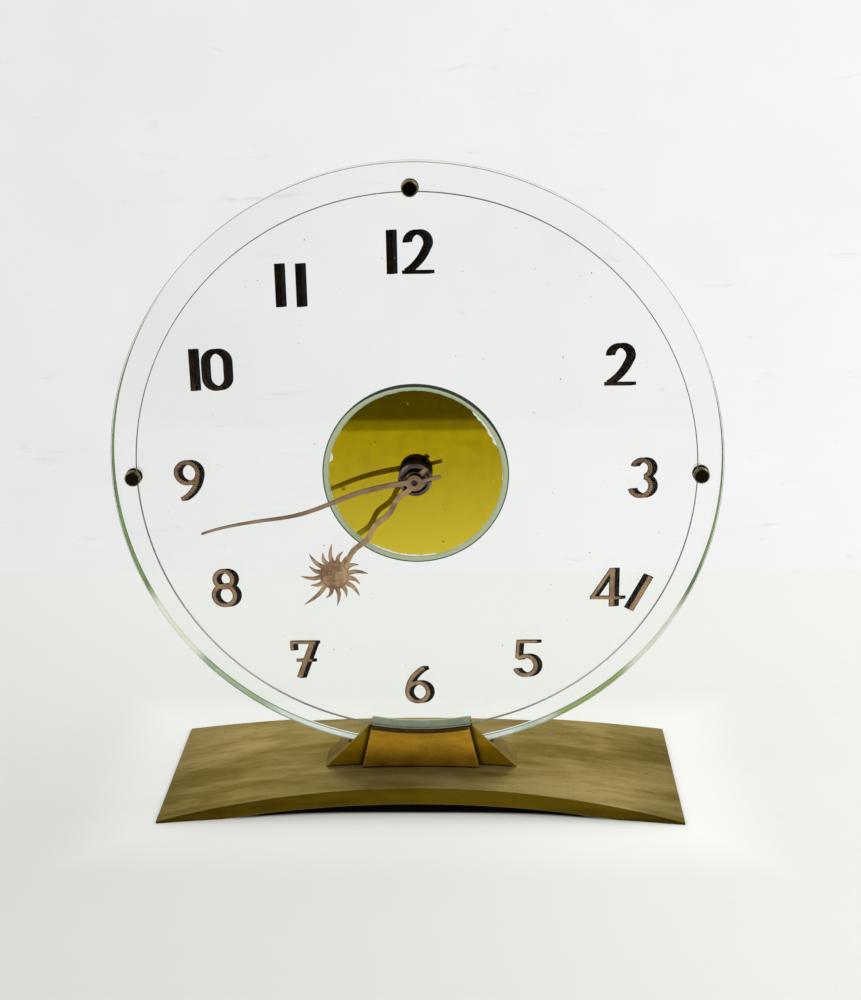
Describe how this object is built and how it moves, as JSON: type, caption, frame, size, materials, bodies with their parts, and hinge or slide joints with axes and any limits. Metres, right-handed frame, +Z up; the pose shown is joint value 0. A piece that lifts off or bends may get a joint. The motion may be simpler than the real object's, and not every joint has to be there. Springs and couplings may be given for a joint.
{
  "type": "mystery clock",
  "caption": "Table clock with hands that seem to float on a clear glass disc, held in a brass socket on a wide arched foot, with its movement hidden behind a small mirror.",
  "frame": {"origin": "On the table, under the middle of the arched foot.", "axes": "+X to the right of the dial as it is read, -Y towards the reader, +Z up."},
  "size_m": [0.24, 0.0798, 0.2572],
  "materials": {
    "clear_glass": "clear float glass with a green edge",
    "gold_mirror": "gold mirror coating",
    "aged_brass": "brushed, aged",
    "amber_brass": "brushed, lacquered",
    "copper": "antiqued copper plate",
    "dark_brass": "darkened",
    "lacquered_brass": "lacquered",
    "movement_brass": "satin",
    "steel": "polished",
    "soft_packing": "grey-green, matt",
    "rubber_seal": "matt"
  },
  "bodies": {
    "stand": {"dial_glass": "clear_glass", "front_glass": "clear_glass", "mirror_disc": "gold_mirror", "base_plate": "aged_brass", "socket_block": "aged_brass", "front_panel": "amber_brass", "rear_panel": "amber_brass", "numeral_1": "copper", "numeral_2": "copper", "numeral_3": "copper", "numeral_4": "copper", "numeral_5": "copper", "numeral_6": "copper", "numeral_7": "copper", "numeral_8": "copper", "numeral_9": "copper", "numeral_10": "copper", "numeral_11": "copper", "numeral_12": "copper", "glass_posts": "dark_brass", "post_nuts": "dark_brass", "hand_nut": "dark_brass", "nut_washer": "dark_brass", "movement_case": "lacquered_brass", "rear_cover": "lacquered_brass", "centre_bush": "lacquered_brass", "movement_front_plate": "movement_brass", "movement_back_plate": "movement_brass", "plate_pillars": "movement_brass", "socket_screws": "steel", "cover_screws": "steel", "pillar_nuts": "steel", "hairspring": "steel", "slot_pad": "soft_packing", "post_washers": "rubber_seal", "case_gasket": "rubber_seal"},
    "minute_drive": {"minute_hand": "copper", "cannon_pinion": "steel", "centre_arbor": "steel", "centre_wheel": "movement_brass", "setting_knob": "dark_brass"},
    "hour_drive": {"hour_hand": "copper", "hour_wheel": "movement_brass"},
    "motion_wheel": {"minute_wheel": "movement_brass"},
    "barrel": {"mainspring_barrel": "movement_brass", "mainspring": "steel"},
    "winder": {"barrel_arbor": "steel", "winding_key": "lacquered_brass"},
    "third": {"third_wheel": "movement_brass"},
    "fourth": {"fourth_wheel": "movement_brass"},
    "escape": {"escape_wheel": "movement_brass"},
    "lever": {"pallet_lever": "steel"},
    "balance": {"balance_wheel": "movement_brass"}
  },
  "joints": [
    {"name": "minute_spin", "type": "hinge", "parent": "stand", "child": "minute_drive", "pos_m": [0, 0, 0.1372], "axis": [0, 1, 0], "continuous": true},
    {"name": "hour_spin", "type": "hinge", "parent": "stand", "child": "hour_drive", "pos_m": [0, 0, 0.1372], "axis": [0, 1, 0], "continuous": true},
    {"name": "motion_wheel_spin", "type": "hinge", "parent": "stand", "child": "motion_wheel", "pos_m": [-0.00624, 0, 0.1408], "axis": [0, 1, 0], "continuous": true},
    {"name": "barrel_spin", "type": "hinge", "parent": "stand", "child": "barrel", "pos_m": [0, 0, 0.12568], "axis": [0, 1, 0], "continuous": true},
    {"name": "third_spin", "type": "hinge", "parent": "stand", "child": "third", "pos_m": [0.00525, 0, 0.14629], "axis": [0, 1, 0], "continuous": true},
    {"name": "fourth_spin", "type": "hinge", "parent": "stand", "child": "fourth", "pos_m": [-0.00361, 0, 0.14786], "axis": [0, 1, 0], "continuous": true},
    {"name": "escape_spin", "type": "hinge", "parent": "stand", "child": "escape", "pos_m": [-0.01098, 0, 0.14517], "axis": [0, 1, 0], "continuous": true},
    {"name": "winding_turn", "type": "hinge", "parent": "stand", "child": "winder", "pos_m": [0, 0, 0.12568], "axis": [0, 1, 0], "continuous": true},
    {"name": "lever_rock", "type": "hinge", "parent": "stand", "child": "lever", "pos_m": [-0.01396, 0, 0.14092], "axis": [0, 1, 0], "range_deg": [-4, 4]},
    {"name": "balance_swing", "type": "hinge", "parent": "stand", "child": "balance", "pos_m": [-0.01649, 0, 0.13396], "axis": [0, 1, 0], "range_deg": [-220, 220], "stiffness_Nm_per_rad": 0.000001}
  ],
  "couplings": [
    {"joint": "hour_spin", "follows": "minute_spin", "ratio": 0.083333},
    {"joint": "motion_wheel_spin", "follows": "minute_spin", "ratio": -0.33333},
    {"joint": "barrel_spin", "follows": "minute_spin", "ratio": -0.2},
    {"joint": "third_spin", "follows": "minute_spin", "ratio": -6},
    {"joint": "fourth_spin", "follows": "minute_spin", "ratio": 30},
    {"joint": "escape_spin", "follows": "minute_spin", "ratio": -180}
  ]
}
